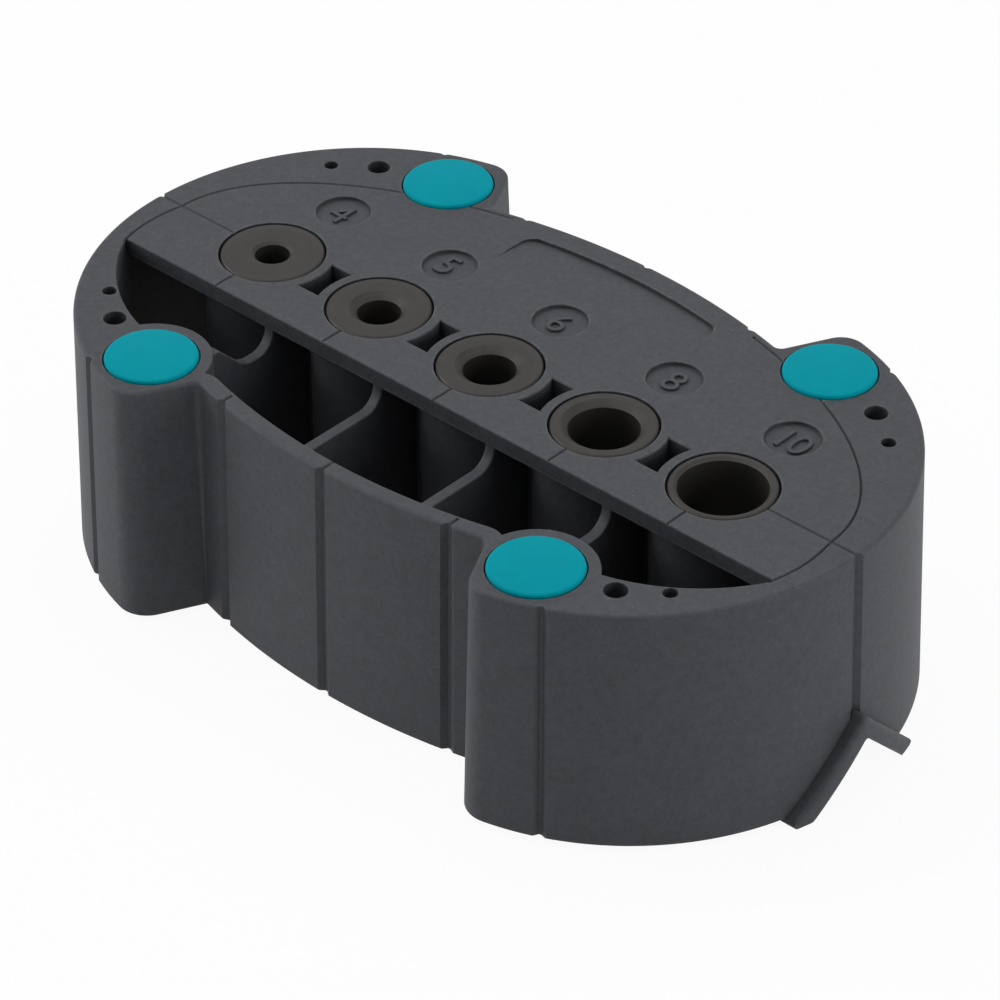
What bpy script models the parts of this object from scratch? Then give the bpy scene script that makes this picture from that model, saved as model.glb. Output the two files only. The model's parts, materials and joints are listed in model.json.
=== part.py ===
# Five-bore drill guide: a moulded block with a row of steel drill bushes, four soft
# grip plugs through its corner posts and a 90 degree V channel along its underside.
# Metres, +Z up. X runs along the bush row, -Y is the side with the open pockets, and
# the origin is on the surface that the guide stands on, below the middle bush.

import math

import bmesh
import bpy
from mathutils import Matrix

MM = 0.001

# Drill bushes
BORES = (4.0, 5.0, 6.0, 8.0, 10.0)  # nominal drill sizes in millimetres, from -X to +X
BORE_PLAY = 0.1 * MM  # a bore is this much wider than its drill
BUSH_PITCH = 17.15 * MM
BUSH_DIAMETER = 12.2 * MM
BUSH_LENGTH = 22.0 * MM
BUSH_BELOW_DECK = 0.02 * MM
BUSH_EDGE = 0.3 * MM  # chamfer on the outer rims
BORE_MOUTH = 0.75 * MM  # chamfer at the mouth of a bore
BORE_MOUTH_LEAST_LAND = 0.35 * MM  # flat ring left between the two chamfers

# Soft grip plugs
PLUG_RADIUS = 5.36 * MM
PLUG_ROUND = 0.35 * MM
PLUG_PROUD_ABOVE = 0.35 * MM
PLUG_PROUD_BELOW = 0.8 * MM
PLUG_ANGLE = math.radians(70.8)  # seen from the centre of the end arc

# Fits
BUSH_FIT = 0.2 * MM  # radial gap between a bush and its seat
PLUG_FIT = 0.15 * MM  # radial gap between a plug and its post
SEAT_GAP = 0.2 * MM  # below the foot of a bush

# Moulded body, outline
BODY_HEIGHT = 30.5 * MM
END_CENTRE = 20.7 * MM  # centre of each round end, from the middle bush
END_RADIUS = 32.35 * MM
WAIST_HALF_WIDTH = 27.05 * MM
WAIST_RADIUS = 83.0 * MM
TIP_RADIUS = 3.0 * MM
WAIST_FILLET_AT_FOOT = 0.1 * MM  # the draft widens it towards the top
FLANK_ANGLE = math.radians(63.0)
FLANK_SKIN = 0.9 * MM  # wall between a plug and the flank of its post
POST_SKIN = 1.05 * MM  # wall between a plug and the round end
DRAFT = math.radians(1.6)
TOP_ROUND = 0.5 * MM
FOOT_CHAMFER = 0.12 * MM

# Moulded body, inside
OUTER_WALL = 2.1 * MM
DECK_THICKNESS = 2.1 * MM
DECK_EDGE = 9.3 * MM  # near edge of the deck, from the bush row
POST_WALL = 1.4 * MM
BOSS_WALL = 1.7 * MM
RIB_THICKNESS = 1.4 * MM
RIB_DROP = 4.6 * MM  # top of a rib below the deck surface, in the open pockets
RIB_RAMP_FOOT = 13.8 * MM  # where an outer rib starts to climb to its post
RIB_RAMP_TOP = 0.6 * MM
ARC_SHIFT = 7.7 * MM  # centre of a pocket's round wall, beyond the end centre
ARC_RISE = 2.2 * MM  # and across the bush row
ARC_WALL = 1.6 * MM
ARC_TUCK = 1.5 * MM  # the round wall leaves the end wall this far under the deck
ARC_START = math.radians(12)  # the stretch of its circle that the round wall may take
ARC_END = math.radians(92)
BOSS_FOOT = 2.0 * MM  # a boss ends this far above the underside of the body
SHOULDER_WIDTH = 0.95 * MM  # ledge below a bush

# Windows in the deck between two bushes
WINDOW_HALF_LENGTH = 2.8 * MM
WINDOW_RIM = 1.2 * MM  # wall left between a window and a bush seat
WINDOW_DEPTH = 18.0 * MM
WINDOW_END_WALL = 1.1 * MM
WINDOW_BLOCK_HALF_WIDTH = 2.4 * MM

# V channel
V_CREST = 9.95 * MM  # outer crest above the underside of the body, before its blunting
V_BLUNT = 0.3 * MM  # half width of the flat along the crest
V_WALL = 2.05 * MM
V_LIP_REACH = 1.5 * MM  # how far it stands out beyond each end
V_PROUD = 0.75 * MM  # how far its two legs stand below the underside
V_INSET = 0.05 * MM  # they are this much slimmer than the channel above them

# Marks and small holes
GROOVE_DEPTH = 0.55 * MM
GROOVE_WIDTH = 1.7 * MM
GROOVE_REACH = 2.0 * MM  # how far the cutter of a groove stands out of the wall
DISH_RADIUS = 3.25 * MM
DISH_DEPTH = 0.45 * MM
DISH_FROM_ROW = 11.8 * MM
PANEL_HALF_LENGTH = 14.4 * MM
PANEL_WIDTH = 7.4 * MM
PANEL_BORDER = 3.2 * MM
PANEL_DEPTH = 0.45 * MM
PANEL_CORNER = 1.8 * MM
PIN_HOLE_RADIUS = 1.35 * MM
PIN_HOLE_INSET = 4.65 * MM  # its middle, from the edge of the round end
PIN_HOLE_ANGLE = math.radians(51.4)  # seen from the centre of the end arc
SMALL_PIN_HOLE_RADIUS = 0.85 * MM
SMALL_PIN_HOLE_INSET = 3.95 * MM
SMALL_PIN_HOLE_ANGLE = math.radians(39.8)
PIN_HOLE_DEPTH = 12.0 * MM
PIN_HOLE_WALL = 1.0 * MM

# Facets
FINE_STEPS = 44
DISH_STEPS = 24
SMALL_STEPS = 16
ARC_STEPS = 20
CURVE_STEPS = 6
PAST = 6.0 * MM  # cutters reach this far past the body

# Sizes that follow
FLOOR = PLUG_PROUD_BELOW
TOP = FLOOR + BODY_HEIGHT
SEAT_RADIUS = BUSH_DIAMETER / 2 + BUSH_FIT
BUSH_TOP = TOP - BUSH_BELOW_DECK
BUSH_FOOT = BUSH_TOP - BUSH_LENGTH
SEAT_FLOOR = BUSH_FOOT - SEAT_GAP
BOSS_RADIUS = SEAT_RADIUS + BOSS_WALL
PLUG_BORE = PLUG_RADIUS + PLUG_FIT
POST_RADIUS = PLUG_BORE + POST_WALL
PLUG_REACH = END_RADIUS - POST_SKIN - PLUG_BORE
PLUG_X = END_CENTRE + PLUG_REACH * math.cos(PLUG_ANGLE)
PLUG_Y = PLUG_REACH * math.sin(PLUG_ANGLE)
BUSH_XS = [(i - (len(BORES) - 1) / 2) * BUSH_PITCH for i in range(len(BORES))]
RIB_XS = [(BUSH_XS[i] + BUSH_XS[i + 1]) / 2 for i in range(len(BORES) - 1)]
CREST_Z = FLOOR + V_CREST
CHANNEL_Z = CREST_Z - V_WALL * math.sqrt(2)
FLANK_NORMAL = (-math.sin(FLANK_ANGLE), math.cos(FLANK_ANGLE))
WAIST_FILLET = WAIST_FILLET_AT_FOOT + BODY_HEIGHT * math.tan(DRAFT)
WAIST_CENTRE_Y = WAIST_HALF_WIDTH - WAIST_RADIUS


def line_meets_circle(normal, reach, centre, radius):
    # The farther of the two points, along the line, where it crosses the circle.
    along = (normal[1], -normal[0])
    foot = (normal[0] * reach, normal[1] * reach)
    dx, dy = foot[0] - centre[0], foot[1] - centre[1]
    half = dx * along[0] + dy * along[1]
    step = -half + math.sqrt(max(half * half - (dx * dx + dy * dy - radius * radius), 0.0))
    return foot[0] + step * along[0], foot[1] + step * along[1]


def arc(centre, radius, start, end, steps):
    return [
        (centre[0] + radius * math.cos(start + (end - start) * i / steps),
         centre[1] + radius * math.sin(start + (end - start) * i / steps))
        for i in range(steps + 1)
    ]


def angle_to(origin, point):
    return math.atan2(point[1] - origin[1], point[0] - origin[0])


def outline(offset=0.0):
    # One quarter of the plan, from the end of the bush row to the waist, then mirrored.
    end = (END_CENTRE, 0.0)
    waist = (0.0, WAIST_CENTRE_Y)
    flank = FLANK_NORMAL[0] * PLUG_X + FLANK_NORMAL[1] * PLUG_Y + PLUG_BORE + FLANK_SKIN
    tip = line_meets_circle(FLANK_NORMAL, flank - TIP_RADIUS, end, END_RADIUS - TIP_RADIUS)
    reach = WAIST_RADIUS + WAIST_FILLET
    hollow = line_meets_circle(FLANK_NORMAL, flank + WAIST_FILLET, waist, reach)
    facing = math.atan2(FLANK_NORMAL[1], FLANK_NORMAL[0])
    quarter = arc(end, END_RADIUS + offset, 0.0, angle_to(end, tip), 14)
    quarter += arc(tip, TIP_RADIUS + offset, angle_to(end, tip), facing, CURVE_STEPS)[1:]
    quarter += arc(hollow, WAIST_FILLET - offset, facing - math.pi, angle_to(hollow, waist), 3)
    quarter += arc(waist, WAIST_RADIUS + offset, angle_to(waist, hollow), math.pi / 2, 8)[1:]
    left = [(-x, y) for x, y in reversed(quarter[:-1])]
    far = quarter + left
    near = [(x, -y) for x, y in reversed(far[1:-1])]
    return far + near


def draft_at(z):
    return (TOP - z) * math.tan(DRAFT)


def make_collection(name):
    collection = bpy.data.collections.new(name)
    bpy.context.scene.collection.children.link(collection)
    return collection


def make_material(name, color, roughness, metallic):
    material = bpy.data.materials.new(name)
    material.use_nodes = True
    shader = material.node_tree.nodes["Principled BSDF"]
    shader.inputs["Base Color"].default_value = (*color, 1.0)
    shader.inputs["Roughness"].default_value = roughness
    shader.inputs["Metallic"].default_value = metallic
    return material


def add_object(name, mesh, collection):
    thing = bpy.data.objects.new(name, mesh)
    collection.objects.link(thing)
    if collection.name == "cutters":
        thing.hide_render = True
        thing.display_type = "WIRE"
    return thing


def loft(name, rings, collection):
    # A closed solid through rings of points that all have as many points.
    bm = bmesh.new()
    rows = [[bm.verts.new(point) for point in ring] for ring in rings]
    for lower, upper in zip(rows, rows[1:]):
        for i in range(len(lower)):
            j = (i + 1) % len(lower)
            bm.faces.new((lower[i], lower[j], upper[j], upper[i]))
    bm.faces.new(list(reversed(rows[0])))
    bm.faces.new(rows[-1])
    bmesh.ops.recalc_face_normals(bm, faces=bm.faces)
    mesh = bpy.data.meshes.new(name)
    bm.to_mesh(mesh)
    bm.free()
    return add_object(name, mesh, collection)


def flat(name, points, low, high, collection, turn=Matrix()):
    # A flat outline with a thickness, made as a filled 2D curve.
    curve = bpy.data.curves.new(name, "CURVE")
    curve.dimensions = "2D"
    curve.fill_mode = "BOTH"
    curve.extrude = (high - low) / 2
    spline = curve.splines.new("POLY")
    spline.points.add(len(points) - 1)
    for place, (x, y) in zip(spline.points, points):
        place.co = (x, y, 0.0, 1.0)
    spline.use_cyclic_u = True
    guide = bpy.data.objects.new(name, curve)
    bpy.context.scene.collection.objects.link(guide)
    bpy.context.view_layer.update()
    evaluated = guide.evaluated_get(bpy.context.evaluated_depsgraph_get())
    mesh = bpy.data.meshes.new_from_object(evaluated)
    bpy.data.objects.remove(guide)
    bpy.data.curves.remove(curve)
    bm = bmesh.new()
    bm.from_mesh(mesh)
    bmesh.ops.remove_doubles(bm, verts=bm.verts, dist=0.000001)
    bmesh.ops.recalc_face_normals(bm, faces=bm.faces)
    bm.to_mesh(mesh)
    bm.free()
    mesh.transform(turn @ Matrix.Translation((0.0, 0.0, (low + high) / 2)))
    mesh.name = name
    return add_object(name, mesh, collection)


def along_x():
    # Turns a flat piece so that its x and y become Y and Z, and its thickness runs along X.
    return Matrix(((0, 0, 1, 0), (1, 0, 0, 0), (0, 1, 0, 0), (0, 0, 0, 1)))


def turned(name, profile, x, y, steps, collection):
    # A profile of radius and height, down its outer side, turned about a vertical axis.
    # One that ends where it starts is a closed ring.
    mesh = bpy.data.meshes.new(name)
    ring = profile[0] == profile[-1]
    points = [(radius, 0.0, z) for radius, z in (profile[:-1] if ring else profile)]
    edges = [(i, i + 1) for i in range(len(points) - 1)]
    if ring:
        edges.append((len(points) - 1, 0))
    mesh.from_pydata(points, edges, [])
    thing = add_object(name, mesh, collection)
    thing.location = (x, y, 0.0)
    screw = thing.modifiers.new("turn", "SCREW")
    screw.steps = steps
    screw.render_steps = steps
    screw.use_merge_vertices = True
    screw.merge_threshold = 0.00001
    screw.use_smooth_shade = True
    return thing


def rod(name, radius, low, high, x, y, steps, collection):
    profile = [(0.0, high), (radius, high), (radius, low), (0.0, low)]
    return turned(name, profile, x, y, steps, collection)


def box(name, low, high, collection):
    bm = bmesh.new()
    bmesh.ops.create_cube(bm, size=1.0)
    size = [h - l for l, h in zip(low, high)]
    centre = [(h + l) / 2 for l, h in zip(low, high)]
    for vert in bm.verts:
        vert.co = [c + s * v for c, s, v in zip(centre, size, vert.co)]
    mesh = bpy.data.meshes.new(name)
    bm.to_mesh(mesh)
    bm.free()
    return add_object(name, mesh, collection)


def combine(target, operation, others):
    for other in others:
        step = target.modifiers.new(other.name, "BOOLEAN")
        step.operation = operation
        step.solver = "EXACT"
        step.object = other


def quadrants():
    return [(sx, sy) for sx in (-1, 1) for sy in (-1, 1)]


def corner_name(name, sx, sy):
    side = "front" if sy < 0 else "back"
    end = "left" if sx < 0 else "right"
    return f"{name}_{side}_{end}"


def outer_form(collection):
    # The drafted block with its rounded top edge and chamfered foot.
    def ring(z, inset):
        return [(x, y, z) for x, y in outline(draft_at(z) - inset)]

    rings = [ring(FLOOR, FOOT_CHAMFER), ring(FLOOR + FOOT_CHAMFER, 0.0)]
    steps = 3
    for i in range(steps + 1):
        turn = math.pi / 2 * i / steps
        rings.append(ring(TOP - TOP_ROUND * (1 - math.sin(turn)), TOP_ROUND * (1 - math.cos(turn))))
    return loft("body", rings, collection)


def rib(index, x, cutters):
    # A wall across the body: up to the deck, hollowed down in the open pocket, and
    # on an outer rib up again on a slope to the post.
    fillet = RIB_DROP - DECK_THICKNESS
    low, high, top = FLOOR - 2 * PAST, TOP + 2 * PAST, TOP - RIB_DROP
    reach = END_RADIUS + 2 * PAST
    profile = [(reach, low), (reach, high), (-DECK_EDGE, high)]
    centre = (-DECK_EDGE - fillet, top + fillet)
    profile += arc(centre, fillet, 0.0, -math.pi / 2, CURVE_STEPS)
    if index in (0, len(RIB_XS) - 1):
        climb = RIB_DROP - RIB_RAMP_TOP
        profile += [(-RIB_RAMP_FOOT, top), (-RIB_RAMP_FOOT - climb, top + climb), (-reach, top + climb)]
    else:
        profile += [(-reach, top)]
    profile += [(-reach, low)]
    half = RIB_THICKNESS / 2
    return flat(f"keep_rib_{index}", profile, x - half, x + half, cutters, along_x())


def pocket_arc_centre():
    return END_CENTRE + ARC_SHIFT, ARC_RISE


def pocket_arc_radius():
    inside = END_RADIUS - OUTER_WALL
    start_y = DECK_EDGE - ARC_TUCK
    start_x = END_CENTRE + math.sqrt(inside * inside - start_y * start_y)
    cx, cy = pocket_arc_centre()
    return math.hypot(start_x - cx, start_y + cy)


def round_wall(sx, sy, cutters):
    # The curved wall of an end pocket. On the near side it carries the crescent of deck
    # between the pocket and the outer wall.
    cx, cy = pocket_arc_centre()
    inner = pocket_arc_radius()

    def sector(outer, low, high, part):
        points = arc((cx, -cy), inner, ARC_START, ARC_END, ARC_STEPS)
        points += arc((cx, -cy), outer, ARC_END, ARC_START, ARC_STEPS)
        placed = [(sx * x, sy * y) for x, y in points]
        return flat(corner_name(f"keep_{part}", sx, sy), placed, low, high, cutters)

    pieces = [sector(inner + ARC_WALL, FLOOR - 2 * PAST, TOP - DECK_THICKNESS / 2, "wall")]
    if sy < 0:
        pieces.append(sector(inner + 4 * PAST, TOP - DECK_THICKNESS, TOP + 2 * PAST, "crescent"))
    return pieces


def v_wedge(name, crest, foot, reach, collection):
    # The solid wedge whose upper faces are the outside of the V channel, down to its foot.
    right = [(V_BLUNT, crest - V_BLUNT), (crest - foot, foot)]
    left = [(-y, z) for y, z in reversed(right)]
    return flat(name, right + left, -reach, reach, collection, along_x())


def cavity(cutters):
    # Everything that is open inside the outer wall, as one cutter.
    hollow = flat("cavity", outline(-OUTER_WALL), FLOOR - PAST, TOP + PAST, cutters)
    reach = 2 * END_RADIUS + END_CENTRE
    corner = (reach, reach, TOP + 2 * PAST)
    keeps = [box("keep_deck", (-reach, -DECK_EDGE, TOP - DECK_THICKNESS), corner, cutters)]
    keeps += [rib(i, x, cutters) for i, x in enumerate(RIB_XS)]
    keeps.append(v_wedge("keep_channel", CREST_Z, FLOOR - 2 * PAST, reach, cutters))
    low, high = FLOOR + BOSS_FOOT, TOP + PAST / 2
    for i, x in enumerate(BUSH_XS):
        keeps.append(rod(f"keep_boss_{i}", BOSS_RADIUS, low, high, x, 0.0, FINE_STEPS, cutters))
    keeps += [window_block(i, x, cutters) for i, x in enumerate(RIB_XS)]
    low, high = FLOOR - 2 * PAST, TOP + 2 * PAST
    for sx, sy in quadrants():
        name = corner_name("keep_post", sx, sy)
        x, y = sx * PLUG_X, sy * PLUG_Y
        keeps.append(rod(name, POST_RADIUS, low, high, x, y, FINE_STEPS, cutters))
        keeps += round_wall(sx, sy, cutters)
    low, high = TOP - PIN_HOLE_DEPTH - PIN_HOLE_WALL, TOP - DECK_THICKNESS / 3
    for name, radius, x, y in pin_holes():
        wall = radius + PIN_HOLE_WALL
        keeps.append(rod(f"keep_{name}", wall, low, high, x, y, SMALL_STEPS, cutters))
    combine(hollow, "DIFFERENCE", keeps)
    return hollow


def window_block(i, x, cutters):
    # The solid that a window is sunk into, where a rib crosses the bush row.
    reach = WINDOW_HALF_LENGTH + WINDOW_END_WALL
    low = (x - WINDOW_BLOCK_HALF_WIDTH, -reach, CHANNEL_Z)
    high = (x + WINDOW_BLOCK_HALF_WIDTH, reach, TOP + PAST / 3)
    return box(f"keep_block_{i}", low, high, cutters)


def pin_holes():
    # Name, radius and centre of each small hole beside a plug.
    kinds = (
        (PIN_HOLE_RADIUS, PIN_HOLE_INSET, PIN_HOLE_ANGLE),
        (SMALL_PIN_HOLE_RADIUS, SMALL_PIN_HOLE_INSET, SMALL_PIN_HOLE_ANGLE),
    )
    places = []
    for sx, sy in quadrants():
        for i, (radius, inset, turn) in enumerate(kinds):
            reach = END_RADIUS - inset
            x = sx * (END_CENTRE + reach * math.cos(turn))
            y = sy * reach * math.sin(turn)
            places.append((corner_name(f"hole_{i}", sx, sy), radius, x, y))
    return places


def bush_seat(i, x, cutters):
    # A seat down to its ledge, then the way through for the drill.
    through = SEAT_RADIUS - SHOULDER_WIDTH
    profile = [(0.0, TOP + PAST), (SEAT_RADIUS, TOP + PAST), (SEAT_RADIUS, SEAT_FLOOR)]
    profile += [(through, SEAT_FLOOR), (through, FLOOR - PAST), (0.0, FLOOR - PAST)]
    return turned(f"seat_{i}", profile, x, 0.0, FINE_STEPS, cutters)


def window(i, x, cutters):
    # A slot between two bushes whose long sides follow their seats.
    half = WINDOW_HALF_LENGTH
    rim = SEAT_RADIUS + WINDOW_RIM
    side = BUSH_PITCH / 2
    spread = math.asin(min(half / rim, 1.0))
    right = arc((x + side, 0.0), rim, math.pi + spread, math.pi - spread, CURVE_STEPS)
    left = arc((x - side, 0.0), rim, spread, -spread, CURVE_STEPS)
    return flat(f"window_{i}", right + left, TOP - WINDOW_DEPTH, TOP + PAST, cutters)


def groove(name, point, facing, cutters):
    # An upright V groove in the drafted wall, its floor GROOVE_DEPTH below the surface.
    half = (GROOVE_DEPTH + GROOVE_REACH) / math.sqrt(2)
    widen = GROOVE_WIDTH / (2 * GROOVE_DEPTH)
    middle = (FLOOR + TOP) / 2
    out = draft_at(middle) + GROOVE_REACH
    bar = box(name, (-half, -half, -BODY_HEIGHT), (half, half, BODY_HEIGHT), cutters)
    bar.data.transform(Matrix.Rotation(math.pi / 4, 4, "Z"))
    bar.data.transform(Matrix.Diagonal((1.0, widen, 1.0, 1.0)))
    bar.data.transform(Matrix.Rotation(-DRAFT, 4, "Y"))
    bar.data.transform(Matrix.Rotation(facing, 4, "Z"))
    bar.location = (point[0] + out * math.cos(facing), point[1] + out * math.sin(facing), middle)
    return bar


def end_grooves(cutters):
    ends = (("right", 1, 0.0), ("left", -1, math.pi))
    return [groove(f"groove_{name}", (side * (END_CENTRE + END_RADIUS), 0.0), facing, cutters)
            for name, side, facing in ends]


def side_grooves(cutters):
    # One on each side level with each bush.
    bars = []
    for i, x in enumerate(BUSH_XS):
        if i in (0, len(BUSH_XS) - 1):
            side = math.copysign(1.0, x)
            across = math.sqrt(END_RADIUS ** 2 - (abs(x) - END_CENTRE) ** 2)
            tilt = math.atan2(across, side * (abs(x) - END_CENTRE))
            far = (x, across)
        else:
            across = math.sqrt(WAIST_RADIUS ** 2 - x ** 2)
            tilt = math.atan2(across, x)
            far = (x, WAIST_CENTRE_Y + across)
        bars.append(groove(f"groove_far_{i}", far, tilt, cutters))
        bars.append(groove(f"groove_near_{i}", (far[0], -far[1]), -tilt, cutters))
    return bars


def panel(cutters):
    # A bare shallow recess that runs out towards the bushes.
    radius = WAIST_RADIUS - PANEL_BORDER
    edge = PANEL_HALF_LENGTH - PANEL_CORNER
    low = WAIST_HALF_WIDTH - PANEL_BORDER - PANEL_WIDTH
    turn = math.asin(edge / (radius - PANEL_CORNER))
    corner = (edge, WAIST_CENTRE_Y + (radius - PANEL_CORNER) * math.cos(turn))
    upper = arc((0.0, WAIST_CENTRE_Y), radius, math.pi / 2 - turn, math.pi / 2 + turn, 10)
    right = arc(corner, PANEL_CORNER, 0.0, math.pi / 2 - turn, 4)
    left = [(-x, y) for x, y in reversed(right)]
    points = [(-PANEL_HALF_LENGTH, low), (PANEL_HALF_LENGTH, low)] + right[:-1] + upper + left[1:]
    plate = flat("panel", [(x, y - low) for x, y in points], 0.0, PAST, cutters)
    plate.rotation_euler = (-math.atan2(PANEL_DEPTH, PANEL_WIDTH), 0.0, 0.0)
    plate.location = (0.0, low, TOP)
    return plate


def v_rails(cutters):
    # The V channel's legs below the underside, and its lips past both ends, which follow
    # the curve of the end walls.
    foot = FLOOR - V_PROUD
    wedge = v_wedge("v_rails", CREST_Z - V_INSET, foot, 2 * END_RADIUS + END_CENTRE, cutters)
    plan = outline(draft_at(FLOOR) + V_LIP_REACH)
    combine(wedge, "INTERSECT", [flat("v_rails_plan", plan, FLOOR - PAST, TOP + PAST, cutters)])
    return wedge


def channel(cutters):
    reach = 2 * END_RADIUS + END_CENTRE
    drop = V_CREST + PAST
    points = [(0.0, CHANNEL_Z), (drop, CHANNEL_Z - drop), (-drop, CHANNEL_Z - drop)]
    return flat("channel", points, -reach, reach, cutters, along_x())


def body(parts, cutters, material):
    block = outer_form(parts)
    combine(block, "DIFFERENCE", end_grooves(cutters))
    combine(block, "UNION", [v_rails(cutters)])
    cuts = [channel(cutters), cavity(cutters)]
    cuts += [window(i, x, cutters) for i, x in enumerate(RIB_XS)]
    cuts += [bush_seat(i, x, cutters) for i, x in enumerate(BUSH_XS)]
    high = TOP + PAST
    for sx, sy in quadrants():
        name = corner_name("plug_bore", sx, sy)
        x, y = sx * PLUG_X, sy * PLUG_Y
        cuts.append(rod(name, PLUG_BORE, FLOOR - PAST, high, x, y, FINE_STEPS, cutters))
    for name, radius, x, y in pin_holes():
        cuts.append(rod(name, radius, TOP - PIN_HOLE_DEPTH, high, x, y, SMALL_STEPS, cutters))
    low, y = TOP - DISH_DEPTH, DISH_FROM_ROW
    for i, x in enumerate(BUSH_XS):
        cuts.append(rod(f"dish_{i}", DISH_RADIUS, low, high, x, y, DISH_STEPS, cutters))
    cuts.append(panel(cutters))
    cuts += side_grooves(cutters)
    combine(block, "DIFFERENCE", cuts)
    block.data.materials.append(material)
    return block


def bush(size, x, parts, material):
    # A turned steel sleeve, chamfered outside at both ends and at both mouths of its bore.
    outer = BUSH_DIAMETER / 2
    bore = (size * MM + BORE_PLAY) / 2
    mouth = min(BORE_MOUTH, outer - BUSH_EDGE - BORE_MOUTH_LEAST_LAND - bore)
    top, foot = BUSH_TOP, BUSH_FOOT
    profile = [(bore, foot + mouth), (bore, top - mouth), (bore + mouth, top), (outer - BUSH_EDGE, top)]
    profile += [(outer, top - BUSH_EDGE), (outer, foot + BUSH_EDGE), (outer - BUSH_EDGE, foot)]
    profile += [(bore + mouth, foot), (bore, foot + mouth)]
    sleeve = turned(f"bush_{size:g}mm", profile, x, 0.0, FINE_STEPS, parts)
    sleeve.data.materials.append(material)
    return sleeve


def plug(name, x, y, parts, material):
    # A soft plug through a post, a little proud of the body at both ends.
    def rounded(z, direction, steps=2):
        return [(PLUG_RADIUS - PLUG_ROUND * (1 - math.sin(math.pi / 2 * i / steps)),
                 z + direction * PLUG_ROUND * (1 - math.cos(math.pi / 2 * i / steps)))
                for i in range(steps + 1)]

    high = TOP + PLUG_PROUD_ABOVE
    head = rounded(high, -1)
    foot = list(reversed(rounded(0.0, 1)))
    profile = [(0.0, high)] + head + foot + [(0.0, 0.0)]
    pin = turned(name, profile, x, y, FINE_STEPS, parts)
    pin.data.materials.append(material)
    return pin


def main():
    for old in list(bpy.data.objects):
        bpy.data.objects.remove(old)
    parts = make_collection("drill_guide")
    cutters = make_collection("cutters")
    moulded = make_material("anthracite_plastic", (0.062, 0.066, 0.072), 0.6, 0.0)
    steel = make_material("blackened_steel", (0.075, 0.068, 0.062), 0.4, 0.9)
    soft = make_material("teal_elastomer", (0.0, 0.27, 0.32), 0.5, 0.0)
    body(parts, cutters, moulded)
    for size, x in zip(BORES, BUSH_XS):
        bush(size, x, parts, steel)
    for sx, sy in quadrants():
        plug(corner_name("grip_plug", sx, sy), sx * PLUG_X, sy * PLUG_Y, parts, soft)


main()
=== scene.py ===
import json
import math

import bmesh
import bpy
from mathutils import Matrix, Vector

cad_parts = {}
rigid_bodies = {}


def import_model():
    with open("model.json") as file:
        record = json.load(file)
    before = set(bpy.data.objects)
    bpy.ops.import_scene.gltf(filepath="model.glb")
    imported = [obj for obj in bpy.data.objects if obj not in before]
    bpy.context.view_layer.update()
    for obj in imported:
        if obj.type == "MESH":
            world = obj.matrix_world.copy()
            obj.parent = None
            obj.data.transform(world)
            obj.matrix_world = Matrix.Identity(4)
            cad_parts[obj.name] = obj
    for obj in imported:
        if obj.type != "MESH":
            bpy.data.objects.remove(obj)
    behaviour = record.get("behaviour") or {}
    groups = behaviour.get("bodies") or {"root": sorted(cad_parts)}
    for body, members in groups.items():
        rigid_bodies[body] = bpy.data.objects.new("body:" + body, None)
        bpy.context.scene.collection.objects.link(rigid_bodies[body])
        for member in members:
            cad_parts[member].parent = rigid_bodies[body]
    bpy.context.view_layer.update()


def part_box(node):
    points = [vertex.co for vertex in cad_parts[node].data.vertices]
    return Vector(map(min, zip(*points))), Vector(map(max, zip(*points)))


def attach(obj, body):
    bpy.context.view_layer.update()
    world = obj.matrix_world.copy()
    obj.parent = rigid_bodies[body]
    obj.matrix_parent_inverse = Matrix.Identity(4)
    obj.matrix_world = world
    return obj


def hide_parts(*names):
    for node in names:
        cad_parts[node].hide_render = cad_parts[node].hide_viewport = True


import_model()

# Lengths below are in millimetres and angles in degrees, in the frame of the CAD model.
mm = 0.001
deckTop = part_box("body")[1].z / mm

workshop = bpy.data.collections.new("workshop")  # cutters and guides, emptied at the end
bpy.context.scene.collection.children.link(workshop)


# Small geometry helpers

def arcPoints(centre, radius, start, end, steps):
    turns = [start + (end - start) * i / steps for i in range(steps + 1)]
    return [(centre[0] + radius * math.cos(t), centre[1] + radius * math.sin(t)) for t in turns]


def angleTo(origin, point):
    return math.atan2(point[1] - origin[1], point[0] - origin[0])


def farCrossing(normal, reach, centre, radius):
    # Where a line, given by its normal and its distance from the origin, leaves a circle.
    along = (normal[1], -normal[0])
    dx, dy = normal[0] * reach - centre[0], normal[1] * reach - centre[1]
    half = dx * along[0] + dy * along[1]
    step = -half + math.sqrt(max(half * half - (dx * dx + dy * dy - radius * radius), 0.0))
    return normal[0] * reach + step * along[0], normal[1] * reach + step * along[1]


def roundOver(radius, steps):
    # Pairs of (inset, drop) over a rounded edge, from the side wall up to the top face.
    turns = [math.pi / 2 * i / steps for i in range(steps + 1)]
    return [(radius * (1 - math.cos(t)), radius * (1 - math.sin(t))) for t in turns]


def meshObject(name, points, faces):
    mesh = bpy.data.meshes.new(name)
    mesh.from_pydata([Vector(point) * mm for point in points], [], faces)
    shape = bmesh.new()
    shape.from_mesh(mesh)
    bmesh.ops.remove_doubles(shape, verts=shape.verts, dist=0.0000005)
    bmesh.ops.recalc_face_normals(shape, faces=shape.faces)
    shape.to_mesh(mesh)
    shape.free()
    thing = bpy.data.objects.new(name, mesh)
    workshop.objects.link(thing)
    return thing


def loft(name, rings):
    # A closed solid through rings that all have as many points.
    count = len(rings[0])
    points = [point for ring in rings for point in ring]
    faces = []
    for row in range(len(rings) - 1):
        a, b = row * count, (row + 1) * count
        faces += [(a + i, a + (i + 1) % count, b + (i + 1) % count, b + i) for i in range(count)]
    faces.append(tuple(reversed(range(count))))
    faces.append(tuple(range(len(points) - count, len(points))))
    return meshObject(name, points, faces)


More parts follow.
